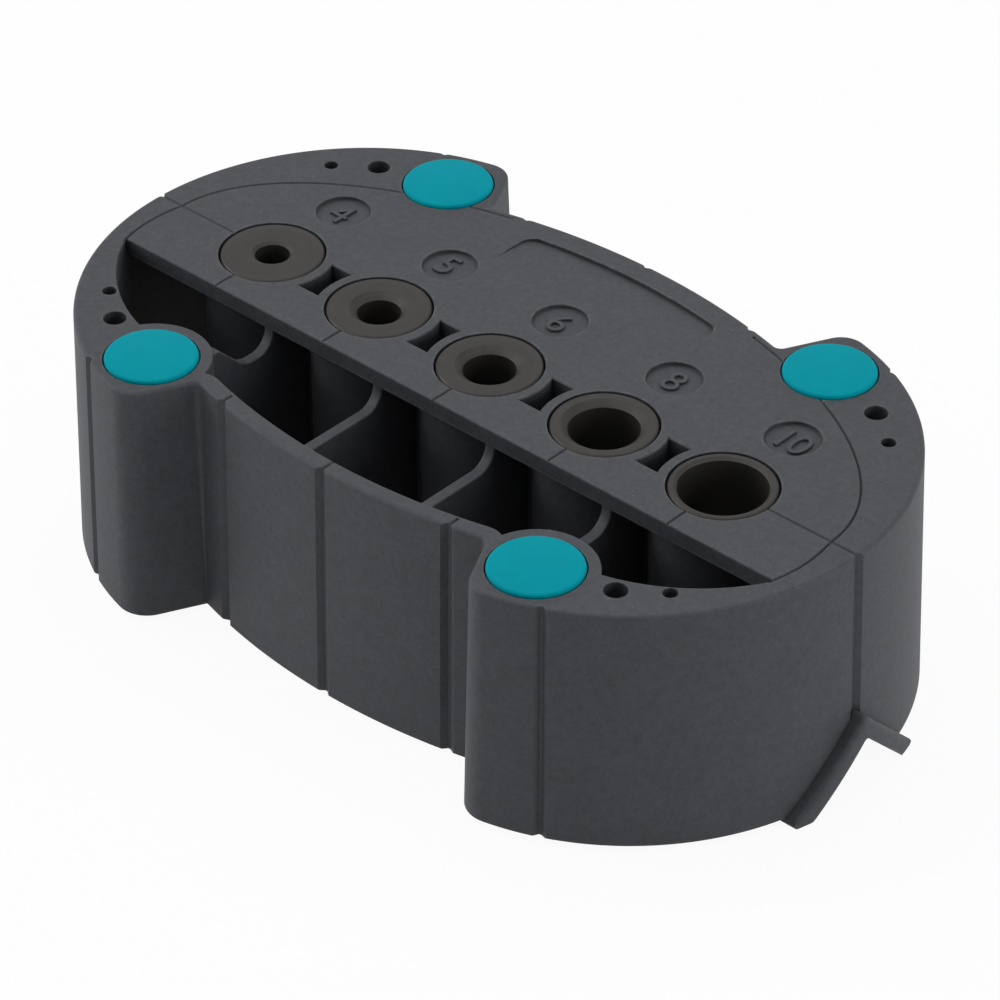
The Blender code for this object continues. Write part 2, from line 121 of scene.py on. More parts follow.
def level(plan, z):
    return [(x, y, z) for x, y in plan]


def slab(name, plan, low, high):
    return loft(name, [level(plan, low), level(plan, high)])


def bar(name, profile, low, high):
    # A profile of y and z, run along X.
    return loft(name, [[(x, y, z) for y, z in profile] for x in (low, high)])


def lathe(name, profile, x, y, steps):
    # A profile of radius and height, from axis to axis, turned about an upright axis.
    rings = []
    for radius, z in profile[1:-1]:
        turns = [2 * math.pi * i / steps for i in range(steps)]
        rings.append([(x + radius * math.cos(t), y + radius * math.sin(t), z) for t in turns])
    return loft(name, rings)


def pillar(name, radius, low, high, x, y, steps):
    return lathe(name, [(0, low), (radius, low), (radius, high), (0, high)], x, y, steps)


def cut(target, operation, tools):
    # All tools at once, from a collection of their own.
    group = bpy.data.collections.new(target.name + "Tools")
    for tool in tools:
        group.objects.link(tool)
    step = target.modifiers.new(operation.lower(), "BOOLEAN")
    step.solver = "MANIFOLD"
    step.operation = operation
    step.operand_type = "COLLECTION"
    step.collection = group
    bake(target)
    for tool in tools:
        bpy.data.objects.remove(tool)
    bpy.data.collections.remove(group)


def bake(thing):
    # Its modifiers become its own plain mesh.
    bpy.context.view_layer.update()
    evaluated = thing.evaluated_get(bpy.context.evaluated_depsgraph_get())
    mesh = bpy.data.meshes.new_from_object(evaluated)
    thing.modifiers.clear()
    thing.data = mesh
    return thing


def finishPiece(thing, name, node, material, sharpAbove=32):
    # A baked mesh becomes a piece of the object, which stands for its CAD node.
    thing.name = name
    thing.data.name = name
    for holder in list(thing.users_collection):
        holder.objects.unlink(thing)
    bpy.context.scene.collection.objects.link(thing)
    thing.data.materials.clear()
    thing.data.materials.append(material)
    thing.data.polygons.foreach_set("use_smooth", [True] * len(thing.data.polygons))
    thing.data.set_sharp_from_angle(angle=math.radians(sharpAbove))
    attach(thing, "root")
    if node:
        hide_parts(node)
    return thing


# Shader groups

def nodeGroup(kind, name, inputs, outputs):
    # An input has a default, or the name of a socket type that has none.
    tree = bpy.data.node_groups.new(name, kind)
    for label, value in inputs.items():
        named = isinstance(value, str)
        form = value if named else {float: "Float", int: "Int"}[type(value)]
        socket = tree.interface.new_socket(label, in_out="INPUT", socket_type="NodeSocket" + form)
        if not named:
            socket.default_value = value
    for label, form in outputs.items():
        tree.interface.new_socket(label, in_out="OUTPUT", socket_type="NodeSocket" + form)
    return tree, tree.nodes.new("NodeGroupInput").outputs, tree.nodes.new("NodeGroupOutput").inputs


def shaderGroup(name, outputs, inputs):
    return nodeGroup("ShaderNodeTree", name, inputs, {label: "Float" for label in outputs})


def addNode(tree, kind, settings=None, **inputs):
    node = tree.nodes.new(kind)
    for key, value in (settings or {}).items():
        setattr(node, key, value)
    give(tree, node.inputs, **inputs)
    return node


def give(tree, sockets, **values):
    # The named sockets get a link or a plain value each.
    for key, value in values.items():
        place(tree, sockets[key.replace("_", " ")], value)


def fill(tree, sockets, *values):
    # The same in the order of the sockets.
    for socket, value in zip(sockets, values):
        place(tree, socket, value)


def place(tree, socket, value):
    # A socket gets a link or a plain value.
    if isinstance(value, bpy.types.NodeSocket):
        tree.links.new(value, socket)
    else:
        socket.default_value = value


def maths(tree, operation, a, b=0.0, c=0.0, clamp=False):
    node = addNode(tree, "ShaderNodeMath", {"operation": operation, "use_clamp": clamp})
    fill(tree, node.inputs, a, b, c)
    return node.outputs[0]


def times(tree, a, b, clamp=False):
    return maths(tree, "MULTIPLY", a, b, clamp=clamp)


def ramp(tree, value, low, high, start=0.0, end=1.0):
    # A smooth step of a value between two limits.
    node = addNode(tree, "ShaderNodeMapRange", {"interpolation_type": "SMOOTHSTEP"}, Value=value,
                   From_Min=low, From_Max=high, To_Min=start, To_Max=end)
    return node.outputs["Result"]


def blend(tree, share, a, b, kind="MIX"):
    node = addNode(tree, "ShaderNodeMix", {"data_type": "RGBA", "blend_type": kind})
    fill(tree, [node.inputs[i] for i in (0, 6, 7)], share, a, b)
    return node.outputs[2]


def noise(tree, vector, scale, detail=2.0, roughness=0.5):
    node = addNode(tree, "ShaderNodeTexNoise", Vector=vector, Scale=scale, Detail=detail, Roughness=roughness)
    return node.outputs["Fac"]


def mouldedGrainGroup():
    # Spark-eroded mould grain: its height and tone, a soft mottle and rare pale specks.
    tree, given, result = shaderGroup("Moulded Grain", ("Height", "Tone", "Mottle", "Specks"), {
        "Vector": "Vector", "Grain Scale": 3400.0, "Mottle Scale": 260.0, "Speck Scale": 2300.0,
        "Speck Share": 0.014})
    vector = given["Vector"]
    fine = noise(tree, vector, given["Grain Scale"], 3.0, 0.6)
    broad = noise(tree, vector, times(tree, given["Grain Scale"], 0.35), 2.0, 0.5)
    height = maths(tree, "MULTIPLY_ADD", broad, 0.6, times(tree, fine, 0.7))
    mixed = maths(tree, "MULTIPLY_ADD", broad, 0.45, times(tree, fine, 0.55))
    tone = ramp(tree, mixed, 0.34, 0.66)
    mottle = noise(tree, vector, given["Mottle Scale"], 4.0, 0.6)
    cells = addNode(tree, "ShaderNodeTexVoronoi", {"feature": "F1"}, Vector=vector,
                    Scale=given["Speck Scale"])
    pick = addNode(tree, "ShaderNodeSeparateColor", Color=cells.outputs["Color"])
    chosen = maths(tree, "LESS_THAN", pick.outputs[0], given["Speck Share"])
    near = ramp(tree, cells.outputs["Distance"], 0.05, 0.3, 1.0, 0.0)
    specks = times(tree, chosen, near)
    give(tree, result, Height=height, Tone=tone, Mottle=mottle, Specks=specks)
    return tree


def edgeWearGroup():
    # A mask of the outer edges, where rays cast inwards soon leave again, broken up by noise: real edge wear
    # together with painted edge highlights.
    tree, given, result = shaderGroup("Edge Wear", ("Mask",), {
        "Vector": "Vector", "Width": 0.0005, "Breakup Scale": 700.0, "Strength": 1.0})
    inwards = addNode(tree, "ShaderNodeAmbientOcclusion", {"inside": True, "only_local": True, "samples": 6},
                      Distance=given["Width"])
    edge = ramp(tree, inwards.outputs["AO"], 0.9, 0.45, 0.0, 1.0)
    patches = noise(tree, given["Vector"], given["Breakup Scale"], 5.0, 0.65)
    broken = times(tree, edge, ramp(tree, patches, 0.36, 0.66))
    mask = times(tree, broken, given["Strength"], clamp=True)
    give(tree, result, Mask=mask)
    return tree


def creaseGroup():
    # A mask of narrow gaps and inner corners, where painted shade darkens the colour.
    tree, given, result = shaderGroup("Crease", ("Mask",), {"Width": 0.0009, "Strength": 0.5})
    around = addNode(tree, "ShaderNodeAmbientOcclusion", {"samples": 6}, Distance=given["Width"])
    deep = ramp(tree, around.outputs["AO"], 0.95, 0.4, 0.0, 1.0)
    mask = times(tree, deep, given["Strength"], clamp=True)
    give(tree, result, Mask=mask)
    return tree


def scuffGroup():
    # Faint curved scratches: the level lines of a noise, sparse and in patches.
    tree, given, result = shaderGroup("Scuffs", ("Mask",), {
        "Vector": "Vector", "Scale": 330.0, "Share": 0.1})
    field = noise(tree, given["Vector"], given["Scale"], 1.0)
    level = maths(tree, "ABSOLUTE", maths(tree, "SUBTRACT", field, 0.5))
    thin = ramp(tree, level, 0.002, 0.016, 1.0, 0.0)
    patches = noise(tree, given["Vector"], 85.0, 2.0)
    fine = noise(tree, given["Vector"], 1500.0, 2.0)
    shown = times(tree, ramp(tree, patches, 0.6, 0.72), ramp(tree, fine, 0.42, 0.6))
    mask = times(tree, times(tree, thin, shown), given["Share"], clamp=True)
    give(tree, result, Mask=mask)
    return tree


def turningMarksGroup():
    # Fine rings that a lathe leaves, about the axis of whichever bush the point is on.
    tree, given, result = shaderGroup("Turning Marks", ("Rings", "Inward"), {
        "Vector": "Vector", "Pitch": 0.01715, "Ring Scale": 5200.0})
    split = addNode(tree, "ShaderNodeSeparateXYZ", Vector=given["Vector"])
    half = times(tree, given["Pitch"], 0.5)
    across = maths(tree, "WRAP", split.outputs[0], half, times(tree, half, -1.0))
    sideways = times(tree, split.outputs[1], split.outputs[1])
    square = maths(tree, "MULTIPLY_ADD", across, across, sideways)
    radius = maths(tree, "SQRT", square)
    line = addNode(tree, "ShaderNodeCombineXYZ", X=radius, Y=times(tree, split.outputs[2], 0.6))
    rings = noise(tree, line.outputs[0], given["Ring Scale"], 2.0, 0.6)
    outward = addNode(tree, "ShaderNodeCombineXYZ", X=across, Y=split.outputs[1])
    facing = addNode(tree, "ShaderNodeVectorMath", {"operation": "DOT_PRODUCT"})
    surface = tree.nodes.new("ShaderNodeNewGeometry")
    fill(tree, facing.inputs, surface.outputs["Normal"], outward.outputs[0])
    inward = times(tree, maths(tree, "DIVIDE", facing.outputs["Value"], radius), -1.0)
    give(tree, result, Rings=rings, Inward=inward)
    return tree


groups = {
    "grain": mouldedGrainGroup(),
    "wearAndHighlight": edgeWearGroup(),
    "creaseShade": creaseGroup(),
    "scuffs": scuffGroup(),
    "turning": turningMarksGroup(),
}
print("shader groups:", len(groups))


# Materials

def newMaterial(name):
    material = bpy.data.materials.new(name)
    material.use_nodes = True
    tree = material.node_tree
    where = tree.nodes.new("ShaderNodeTexCoord").outputs["Object"]
    return material, tree, tree.nodes["Principled BSDF"].inputs, where


def useGroup(tree, key, **inputs):
    return addNode(tree, "ShaderNodeGroup", {"node_tree": groups[key]}, **inputs).outputs


plasticLook = {
    "base": (0.0475, 0.0506, 0.0582, 1.0),
    "deep": (0.0412, 0.044, 0.0506, 1.0),
    # the painted shade colour in creases and gaps
    "creaseShade": (0.016, 0.0165, 0.018, 1.0),
    # the pale colour of edge wear and painted edge highlights
    "wornAndLit": (0.16, 0.166, 0.175, 1.0),
    "speck": (0.24, 0.25, 0.26, 1.0),
    "roughness": 0.62,
    "grainDepth": 0.00004,
    "toneSpan": 0.34,
}


def anthracitePlastic(name, wearAndHighlightStrength):
    look = plasticLook
    material, tree, shader, where = newMaterial(name)
    grain = useGroup(tree, "grain", Vector=where)
    wearAndHighlight = useGroup(tree, "wearAndHighlight", Vector=where, Width=0.00045, Strength=wearAndHighlightStrength)
    scuffs = useGroup(tree, "scuffs", Vector=where)
    mottled = blend(tree, ramp(tree, grain["Mottle"], 0.35, 0.68), look["deep"], look["base"])
    toned = addNode(tree, "ShaderNodeVectorMath", {"operation": "SCALE"})
    place(tree, toned.inputs[0], mottled)
    tone = maths(tree, "MULTIPLY_ADD", grain["Tone"], look["toneSpan"], 1 - look["toneSpan"] / 2)
    place(tree, toned.inputs["Scale"], tone)
    specked = blend(tree, times(tree, grain["Specks"], 0.34), toned.outputs[0], look["speck"])
    scuffed = blend(tree, scuffs["Mask"], specked, look["speck"])
    # Painted shade: the colour darkens in creases and gaps, where shade falls.
    creaseShaded = blend(tree, useGroup(tree, "creaseShade")["Mask"], scuffed, look["creaseShade"])
    # Edge wear and painted edge highlights: the outer edges are lightened.
    colour = blend(tree, wearAndHighlight["Mask"], creaseShaded, look["wornAndLit"])
    rough = maths(tree, "MULTIPLY_ADD", grain["Mottle"], 0.12, look["roughness"] - 0.06)
    bump = addNode(tree, "ShaderNodeBump", Strength=0.55, Distance=look["grainDepth"], Height=grain["Height"])
    give(tree, shader, Base_Color=colour, Roughness=rough, Normal=bump.outputs["Normal"],
         Specular_IOR_Level=0.35)
    return material


steelLook = {
    "face": (0.034, 0.031, 0.028, 1.0),
    "dark": (0.028, 0.0255, 0.0235, 1.0),
    "bright": (0.17, 0.16, 0.15, 1.0),
    "bore": (0.035, 0.033, 0.029, 1.0),
    "roughness": 0.5,
}


def blackenedSteel():
    look = steelLook
    material, tree, shader, where = newMaterial("blackenedSteel")
    turning = useGroup(tree, "turning", Vector=where)
    wearAndHighlight = useGroup(tree, "wearAndHighlight", Vector=where, Width=0.00025, Breakup_Scale=900.0, Strength=0.7)
    cloud = noise(tree, where, 420.0, 4.0, 0.6)
    mottled = blend(tree, ramp(tree, cloud, 0.3, 0.72), look["dark"], look["face"])
    ringed = blend(tree, ramp(tree, turning["Rings"], 0.5, 0.75, 0.0, 0.1), mottled, look["bright"])
    # Edge wear and painted edge highlights: the outer edges and mouth rims lighten towards the bright colour.
    wornAndLit = blend(tree, wearAndHighlight["Mask"], ringed, look["bright"])
    colour = blend(tree, ramp(tree, turning["Inward"], 0.86, 0.97), wornAndLit, look["bore"])
    rough = maths(tree, "MULTIPLY_ADD", turning["Rings"], 0.16, look["roughness"] - 0.08)
    bump = addNode(tree, "ShaderNodeBump", Strength=0.4, Distance=0.000012, Height=turning["Rings"])
    give(tree, shader, Base_Color=colour, Roughness=rough, Normal=bump.outputs["Normal"], Metallic=0.6)
    return material


plugLook = {
    "base": (0.0, 0.297, 0.366, 1.0),
    "shade": (0.0, 0.281, 0.348, 1.0),
    "rub": (0.01, 0.32, 0.39, 1.0),
    "roughness": 0.5,
}


def tealElastomer():
    look = plugLook
    material, tree, shader, where = newMaterial("tealElastomer")
    grain = useGroup(tree, "grain", Vector=where, Grain_Scale=5200.0, Mottle_Scale=300.0, Speck_Share=0.006)
    wearAndHighlight = useGroup(tree, "wearAndHighlight", Vector=where, Width=0.0003, Strength=0.35)
    mottled = blend(tree, ramp(tree, grain["Mottle"], 0.3, 0.7), look["shade"], look["base"])
    specked = blend(tree, times(tree, grain["Specks"], 0.3), mottled, look["rub"])
    # Edge wear and painted edge highlights from the same mask lighten the rims.
    colour = blend(tree, wearAndHighlight["Mask"], specked, look["rub"])
    rough = maths(tree, "MULTIPLY_ADD", grain["Mottle"], 0.12, look["roughness"] - 0.06)
    bump = addNode(tree, "ShaderNodeBump", Strength=0.3, Distance=0.00001, Height=grain["Height"])
    give(tree, shader, Base_Color=colour, Roughness=rough, Normal=bump.outputs["Normal"],
         Specular_IOR_Level=0.03)
    return material


materials = {
    "plastic": anthracitePlastic("anthracitePlastic", 0.55),
    "marks": anthracitePlastic("anthraciteMarks", 0.0),
    "steel": blackenedSteel(),
    "plug": tealElastomer(),
}
print("materials:", ", ".join(sorted(materials)))


# Geometry trees

def geometryTree(name, inputs):
    shape = {"Geometry": "Geometry"}
    return nodeGroup("GeometryNodeTree", name, {**shape, **inputs, "Material": "Material"}, shape)


def runTree(thing, tree, **inputs):
    # Sets the named inputs by their identifiers, then turns the result into a plain mesh.
    step = thing.modifiers.new(tree.name, "NODES")
    step.node_group = tree
    for item in tree.interface.items_tree:
        key = item.name.replace(" ", "_")
        if item.in_out == "INPUT" and key in inputs:
            step[item.identifier] = inputs[key]
    return bake(thing)


def endTree(tree, given, result, geometry):
    realize = addNode(tree, "GeometryNodeRealizeInstances", Geometry=geometry)
    paint = addNode(tree, "GeometryNodeSetMaterial", Geometry=realize.outputs[0], Material=given["Material"])
    give(tree, result, Geometry=paint.outputs[0])
    return tree


def profileCurve(tree, corners, closed, softness):
    # A curve through corners of radius and height, its corners rounded a little.
    line = addNode(tree, "GeometryNodeMeshLine", Count=len(corners))
    curve = addNode(tree, "GeometryNodeMeshToCurve", Mesh=line.outputs["Mesh"])
    pick = addNode(tree, "GeometryNodeIndexSwitch", {"data_type": "VECTOR"})
    while len(pick.index_switch_items) < len(corners):
        pick.index_switch_items.new()
    tree.links.new(tree.nodes.new("GeometryNodeInputIndex").outputs[0], pick.inputs["Index"])
    for i, (radius, height) in enumerate(corners):
        spot = addNode(tree, "ShaderNodeCombineXYZ", X=radius, Y=times(tree, height, -1.0))
        tree.links.new(spot.outputs[0], pick.inputs[i + 1])
    placed = addNode(tree, "GeometryNodeSetPosition", Geometry=curve.outputs[0], Position=pick.outputs[0])
    cyclic = addNode(tree, "GeometryNodeSetSplineCyclic", Geometry=placed.outputs[0], Cyclic=closed)
    rounded = addNode(tree, "GeometryNodeFilletCurve", {"mode": "POLY"}, Curve=cyclic.outputs[0],
                      Count=4, Limit_Radius=True, Radius=softness)
    return rounded.outputs[0]


def sweepRound(tree, given, result, corners, closed):
    # A profile swept round an upright axis: the guide circle is tiny and taken off again.
    profile = profileCurve(tree, corners, closed, given["Softness"])
    circle = addNode(tree, "GeometryNodeCurvePrimitiveCircle", Resolution=given["Steps"], Radius=0.001)
    shifted = addNode(tree, "GeometryNodeTransform", Geometry=profile, Translation=(-0.001, 0.0, 0.0))
    swept = addNode(tree, "GeometryNodeCurveToMesh", Curve=circle.outputs[0],
                    Profile_Curve=shifted.outputs[0])
    merged = addNode(tree, "GeometryNodeMergeByDistance", Geometry=swept.outputs[0], Distance=0.0000005)
    moved = addNode(tree, "GeometryNodeTransform", Geometry=merged.outputs[0], Translation=given["Place"])
    return endTree(tree, given, result, moved.outputs[0])


def bushTree():
    # A turned sleeve: rounded outer rims and countersunk mouths, on its own axis.
    tree, given, result = geometryTree("Turned Bush", {
        "Outer Radius": 0.0061, "Bore Radius": 0.003, "Top": 0.031, "Foot": 0.009, "Rim": 0.0003,
        "Mouth": 0.0007, "Mouth Depth": 0.0004, "Softness": 0.00006, "Place": "Vector", "Steps": 128})
    labels = ("Outer Radius", "Bore Radius", "Top", "Foot", "Rim", "Mouth Depth")
    outer, bore, top, foot, rim, sink = (given[label] for label in labels)
    flare = maths(tree, "ADD", bore, given["Mouth"])
    shoulder = maths(tree, "SUBTRACT", outer, rim)
    corners = [
        (bore, maths(tree, "ADD", foot, sink)), (bore, maths(tree, "SUBTRACT", top, sink)),
        (flare, top), (shoulder, top),
        (outer, maths(tree, "SUBTRACT", top, rim)), (outer, maths(tree, "ADD", foot, rim)),
        (shoulder, foot), (flare, foot)]
    return sweepRound(tree, given, result, corners, True)


def plugTree():
    # A solid plug with rounded ends, on its own axis.
    tree, given, result = geometryTree("Soft Plug", {
        "Radius": 0.0053, "Head": 0.031, "Foot": 0.0, "Softness": 0.0004, "Place": "Vector", "Steps": 128})
    radius, head, foot = (given[label] for label in ("Radius", "Head", "Foot"))
    corners = [(0.0, head), (radius, head), (radius, foot), (0.0, foot)]
    return sweepRound(tree, given, result, corners, False)


def spreadCutter(tree, given, result, **inputs):
    # A copy of the cutter on each of the points.
    shape = addNode(tree, "GeometryNodeObjectInfo", Object=given["Cutter"])
    spread = addNode(tree, "GeometryNodeInstanceOnPoints", Instance=shape.outputs["Geometry"], **inputs)
    return endTree(tree, given, result, spread.outputs[0])


def rowTree():
    # Copies of one cutter along the bush row.
    tree, given, result = geometryTree("Bush Row", {"Cutter": "Object", "Count": 5, "Pitch": 0.01715})
    pitch, count = given["Pitch"], given["Count"]
    span = times(tree, pitch, maths(tree, "SUBTRACT", count, 1.0))
    start = addNode(tree, "ShaderNodeCombineXYZ", X=times(tree, span, -0.5))
    step = addNode(tree, "ShaderNodeCombineXYZ", X=pitch)
    line = addNode(tree, "GeometryNodeMeshLine", Count=count, Start_Location=start.outputs[0],
                   Offset=step.outputs[0])
    return spreadCutter(tree, given, result, Points=line.outputs["Mesh"])


def stationTree():
    # Copies of one cutter at points that say how far each is turned.
    tree, given, result = geometryTree("Groove Stations", {"Cutter": "Object"})
    facing = addNode(tree, "GeometryNodeInputNamedAttribute", {"data_type": "FLOAT"}, Name="facing")
    turn = addNode(tree, "ShaderNodeCombineXYZ", Z=facing.outputs["Attribute"])
    rotate = tree.nodes.new("FunctionNodeEulerToRotation")
    tree.links.new(turn.outputs[0], rotate.inputs[0])
    return spreadCutter(tree, given, result, Points=given["Geometry"], Rotation=rotate.outputs[0])


trees = {"bush": bushTree(), "plug": plugTree(), "row": rowTree(), "stations": stationTree()}
print("geometry trees:", ", ".join(sorted(trees)))


def alongRow(name, cutter, count):
    # Copies of a cutter along the row, which use it up.
    host = meshObject(name, [], [])
    runTree(host, trees["row"], Cutter=cutter, Count=count, Pitch=rowSizes["pitch"] * mm,
            Material=materials["plastic"])
    bpy.data.objects.remove(cutter)
    return host


def atStations(name, cutter, stations):
    # Stations are points with the direction that each faces.
    host = meshObject(name, [(x, y, 0.0) for x, y, turn in stations], [])
    turns = host.data.attributes.new("facing", "FLOAT", "POINT")
    turns.data.foreach_set("value", [turn for x, y, turn in stations])
    return runTree(host, trees["stations"], Cutter=cutter, Material=materials["plastic"])


# Moulded body

bodySizes = {
    "height": 30.5,
    "endCentre": 20.7, "endRadius": 32.35,
    "waistHalfWidth": 27.05, "waistRadius": 83.0, "waistFilletAtFoot": 0.1,
    "tipRadius": 3.0, "flankAngle": 63.0, "flankSkin": 0.9, "postSkin": 1.05,
    "draft": 1.6, "topRound": 0.5, "footRound": 0.15, "innerRound": 0.22,
    "wall": 2.1, "deck": 2.1, "deckEdge": 9.3,
    "postWall": 1.4, "bossWall": 1.7,
    "past": 6.0,  # how far cutters reach past the body
    "farPast": 140.0,  # half the length of bars that run through it
}
rowSizes = {
    "pitch": 17.15, "bushRadius": 6.1, "bushFit": 0.2, "seatFloor": 9.0, "ledge": 0.95,
    "bores": (4, 5, 6, 8, 10), "play": 0.1, "mouths": (0.4, 0.95, 0.95, 0.85, 0.42), "mouthSlope": 0.75,
    "rim": 0.22, "soft": 0.06, "bossFoot": 2.0, "seatChamfer": 0.05,
}
plugSizes = {"radius": 5.36, "fit": 0.15, "angle": 70.8, "round": 0.42}
ribSizes = {
    "thickness": 1.4, "drop": 4.6, "round": 0.2, "rampFoot": 13.8, "rampTop": 0.6, "valley": 3.0,
    "tuck": 0.7, "lap": 0.4, "clear": 0.05,  # how the curve meets the deck
}
pocketSizes = {"arcShift": 7.7, "arcRise": 2.2, "arcWall": 1.6, "arcTuck": 1.5, "from": 12.0, "to": 92.0}
windowSizes = {
    "halfLength": 2.8, "rim": 1.2, "depth": 18.0, "endWall": 1.1, "blockHalfWidth": 2.4,
    "soft": 0.13, "chamfer": 0.15,
}
channelSizes = {
    "crest": 9.95, "blunt": 0.3, "wall": 2.05, "reach": 1.5, "proud": 0.75, "inset": 0.05,
    "crestRound": 0.6, "legRound": 0.45, "lipRound": 0.75, "lipFoot": 0.2,
    "apexRound": 0.5, "nearRound": 1.3,
}
pinHoleSizes = {
    "holes": ((1.35, 4.65, 51.4), (0.85, 3.95, 39.8)),  # radius, inset from the end wall, angle
    "depth": 12.0, "soft": 0.06, "wall": 0.3, "floor": 1.0, "belowDeck": 0.7,
}
dishSizes = {"radius": 3.25, "depth": 0.47, "soft": 0.06, "y": 11.8}
grooveSizes = {"halfWidth": 0.86, "depth": 0.55, "soft": 0.14, "out": 3.0, "offCentre": 0.003}
lineSizes = {
    "halfWidth": 0.2, "depth": 0.26, "rimHalfWidth": 0.24, "rimDepth": 0.28, "lift": 1.0,
    "ringX": 49.3, "ringY": 26.2, "ringPower": 1.08, "ringFrom": 66.4,
    "ringTail": ((49.62, -2.0), (49.78, -4.0), (49.7, -6.0), (49.4, -8.0), (48.9, -9.9)),
    "row": (40.3, 47.0, 56.0), "bush": (-5.9, -8.0, -10.2), "rim": (-23.5, -26.0, -28.5),
}
plateSizes = {"half": 14.4, "width": 7.4, "border": 3.2, "depth": 0.45, "corner": 1.8}

floorOfBody = deckTop - bodySizes["height"]
past = bodySizes["past"]
seatRadius = rowSizes["bushRadius"] + rowSizes["bushFit"]
plugBore = plugSizes["radius"] + plugSizes["fit"]
plugReach = bodySizes["endRadius"] - bodySizes["postSkin"] - plugBore
plugX = bodySizes["endCentre"] + plugReach * math.cos(math.radians(plugSizes["angle"]))
plugY = plugReach * math.sin(math.radians(plugSizes["angle"]))
bushXs = [(i - 2) * rowSizes["pitch"] for i in range(5)]
ribXs = [(i - 1.5) * rowSizes["pitch"] for i in range(4)]
corners = [(sx, sy) for sx in (-1, 1) for sy in (-1, 1)]
waistCentre = (0.0, bodySizes["waistHalfWidth"] - bodySizes["waistRadius"])
draftSlope = math.tan(math.radians(bodySizes["draft"]))
waistFillet = bodySizes["waistFilletAtFoot"] + bodySizes["height"] * draftSlope
crestZ = floorOfBody + channelSizes["crest"]
channelZ = crestZ - channelSizes["wall"] * math.sqrt(2)


def planOutline(offset=0.0):
    # One quarter from the end of the row to the waist, in tangent arcs, then mirrored.
    size = bodySizes
    end = (size["endCentre"], 0.0)
    tilt = math.radians(size["flankAngle"])
    normal = (-math.sin(tilt), math.cos(tilt))
    flank = normal[0] * plugX + normal[1] * plugY + plugBore + size["flankSkin"]
    tip = farCrossing(normal, flank - size["tipRadius"], end, size["endRadius"] - size["tipRadius"])
    hollow = farCrossing(normal, flank + waistFillet, waistCentre, size["waistRadius"] + waistFillet)
    toWaist = angleTo(hollow, waistCentre)
    facing = math.atan2(normal[1], normal[0])
    quarter = arcPoints(end, size["endRadius"] + offset, 0.0, angleTo(end, tip), 56)
    quarter += arcPoints(tip, size["tipRadius"] + offset, angleTo(end, tip), facing, 18)[1:]
    quarter += arcPoints(hollow, waistFillet - offset, facing - math.pi, toWaist, 8)
    start = angleTo(waistCentre, hollow)
    quarter += arcPoints(waistCentre, size["waistRadius"] + offset, start, math.pi / 2, 30)[1:]
    far = quarter + [(-x, y) for x, y in reversed(quarter[:-1])]
    return far + [(x, -y) for x, y in reversed(far[1:-1])]


def draftAt(z):
    return (deckTop - z) * draftSlope


def outerForm():
    edge = [(inset, floorOfBody + drop) for inset, drop in reversed(roundOver(bodySizes["footRound"], 3))]
    edge += [(inset, deckTop - drop) for inset, drop in roundOver(bodySizes["topRound"], 7)]
    return loft("body", [level(planOutline(draftAt(z) - inset), z) for inset, z in edge])


def roundedRod(name, radius, low, x, y, steps=96):
    # Kept material: a post or ring whose top edge is rounded where the deck ends.
    profile = [(0.0, low), (radius, low)]
    profile += [(radius - inset, deckTop - drop) for inset, drop in roundOver(bodySizes["innerRound"], 4)]
    profile += [(radius - bodySizes["innerRound"], deckTop + 2 * past), (0.0, deckTop + 2 * past)]
    return lathe(name, profile, x, y, steps)


def deckKeep():
    near, soft = -bodySizes["deckEdge"], bodySizes["innerRound"]
    reach = 2 * bodySizes["endRadius"]
    profile = [(reach, deckTop - bodySizes["deck"]), (near, deckTop - bodySizes["deck"])]
    profile += [(near + inset, deckTop - drop) for inset, drop in roundOver(soft, 4)]
    profile += [(near + soft, deckTop + 2 * past), (reach, deckTop + 2 * past)]
    return bar("deckKeep", profile, -2 * reach, 2 * reach)


def ribKeep(x, ramped):
    # A rib that curves up to the deck, with rounded top edges, and on an outer rib a ramp.
    size = ribSizes
    near, deckUnder = -bodySizes["deckEdge"], deckTop - bodySizes["deck"]
    fillet = size["drop"] - bodySizes["deck"]
    top, reach = deckTop - size["drop"], bodySizes["endRadius"] + 2 * past
    low, high = floorOfBody - 2 * past, deckTop + 2 * past
    climb = size["drop"] - size["rampTop"]
    half, soft = size["thickness"] / 2, size["round"]
    edge = roundOver(soft, 4)
    columns = [(-half + inset, drop) for inset, drop in edge]
    columns += [(half - inset, drop) for inset, drop in reversed(edge)]
    rings = []
    for across, drop in columns:
        tuck, lap = near + size["tuck"], deckUnder + size["lap"]
        profile = [(reach, low), (reach, high), (tuck, high), (tuck, lap)]
        profile += [(near + size["clear"] + drop, lap)]
        profile += arcPoints((near - fillet, top + fillet), fillet + drop, 0.0, -math.pi / 2, 14)
        if ramped:
            slide = drop * (math.sqrt(2) - 1)
            bend = size["valley"] - drop
            start = -size["rampFoot"] + size["valley"] * math.tan(math.pi / 8)
            profile += arcPoints((start, top + size["valley"]), bend + 2 * drop,
                                 -math.pi / 2, -math.pi * 0.75, 8)
            crown = top + climb - drop
            profile += [(-size["rampFoot"] - climb - slide, crown), (-reach, crown)]
        else:
            flat = [-size["rampFoot"] - (reach - size["rampFoot"]) * i / 10 for i in range(11)]
            profile += [(y, top - drop) for y in flat[:-1]] + [(-reach, top - drop)]
        profile += [(-reach, low)]
        rings.append([(x + across, y, z) for y, z in profile])
    return loft("ribKeep", rings)


def pocketArc():
    # Centre and radius of the round inner wall of the right near pocket.
    size = pocketSizes
    inside = bodySizes["endRadius"] - bodySizes["wall"]
    startY = bodySizes["deckEdge"] - size["arcTuck"]
    startX = bodySizes["endCentre"] + math.sqrt(inside * inside - startY * startY)
    centre = (bodySizes["endCentre"] + size["arcShift"], -size["arcRise"])
    return centre, math.hypot(startX - centre[0], startY + size["arcRise"])


